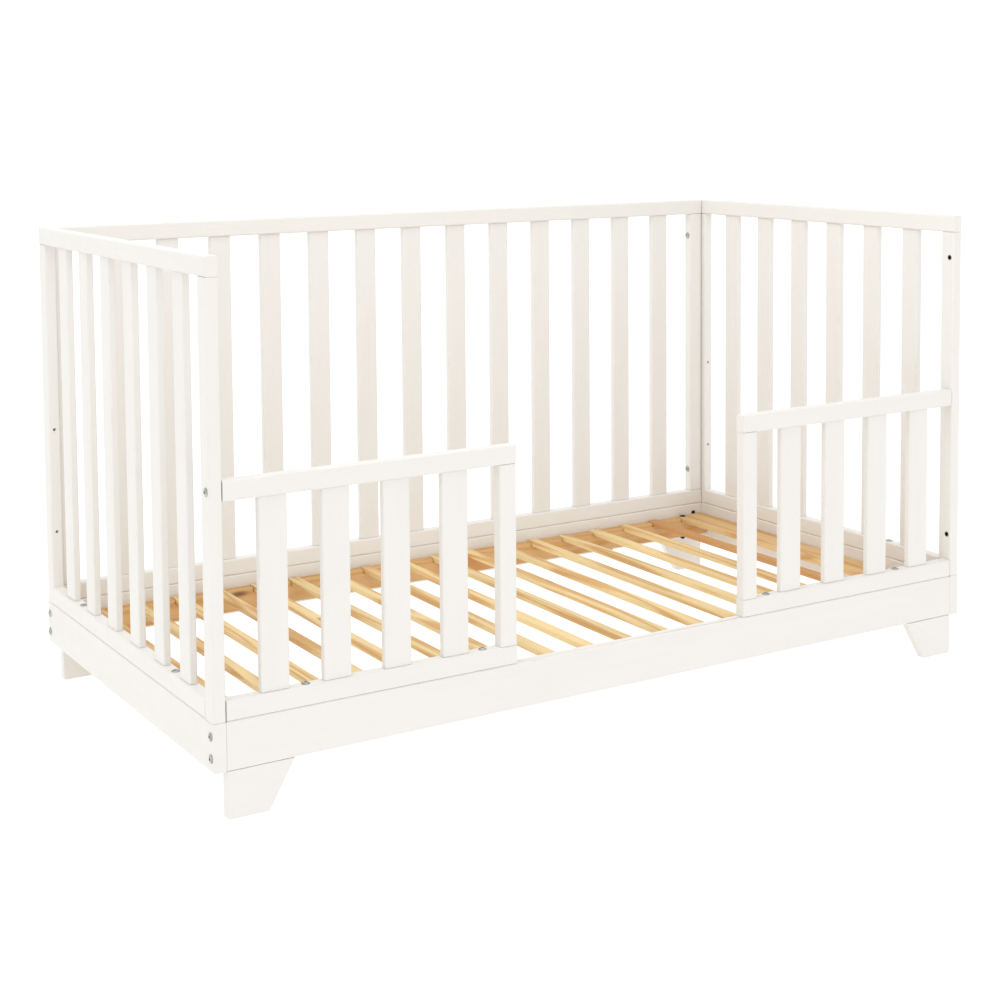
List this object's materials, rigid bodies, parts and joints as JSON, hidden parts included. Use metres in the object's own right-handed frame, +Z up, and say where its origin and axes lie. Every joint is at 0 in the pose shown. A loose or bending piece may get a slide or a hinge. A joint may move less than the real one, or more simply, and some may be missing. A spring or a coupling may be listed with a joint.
{
  "type": "toddler bed",
  "caption": "Painted wooden toddler bed with slatted end and back panels, two short front guards beside an entry gap, slanted feet and a slatted pine base for a mattress",
  "frame": {"origin": "on the floor, under the middle of the bed", "axes": "X along the bed, -Y the side with the guards and the entry gap, +Y the back panel, Z up"},
  "size_m": [1.465, 0.75, 0.802],
  "materials": {
    "paint": "warm white satin paint on solid wood",
    "pine": "bare planed pine",
    "zinc": "bright zinc plating",
    "dowel": "bare beech"
  },
  "bodies": {
    "root": {"base_end_left": "paint", "base_end_right": "paint", "base_rail_front": "paint", "base_rail_back": "paint", "foot_front_left": "paint", "foot_front_right": "paint", "foot_back_left": "paint", "foot_back_right": "paint", "left_end_top_rail": "paint", "left_end_bottom_rail": "paint", "left_end_front_stile": "paint", "left_end_back_stile": "paint", "left_end_slats": "paint", "right_end_top_rail": "paint", "right_end_bottom_rail": "paint", "right_end_front_stile": "paint", "right_end_back_stile": "paint", "right_end_slats": "paint", "back_top_rail": "paint", "back_bottom_rail": "paint", "back_stile_left": "paint", "back_stile_right": "paint", "back_slats": "paint", "left_guard_top_rail": "paint", "left_guard_bottom_rail": "paint", "left_guard_stile": "paint", "left_guard_slats": "paint", "right_guard_top_rail": "paint", "right_guard_bottom_rail": "paint", "right_guard_stile": "paint", "right_guard_slats": "paint", "bearer_front": "pine", "bearer_back": "pine", "deck_end_left": "pine", "deck_end_right": "pine", "deck_slat_01": "pine", "deck_slat_02": "pine", "deck_slat_03": "pine", "deck_slat_04": "pine", "deck_slat_05": "pine", "deck_slat_06": "pine", "deck_slat_07": "pine", "deck_slat_08": "pine", "deck_slat_09": "pine", "deck_slat_10": "pine", "deck_slat_11": "pine", "deck_slat_12": "pine", "deck_slat_13": "pine", "deck_slat_14": "pine", "deck_slat_15": "pine", "deck_slat_16": "pine", "corner_bolts": "zinc", "barrel_nuts": "zinc", "base_bolts": "zinc", "side_bolts": "zinc", "threaded_inserts": "zinc", "bearer_bolts": "zinc", "bearer_nuts": "zinc", "bearer_pins": "zinc", "frame_dowels": "dowel"}
  },
  "joints": []
}
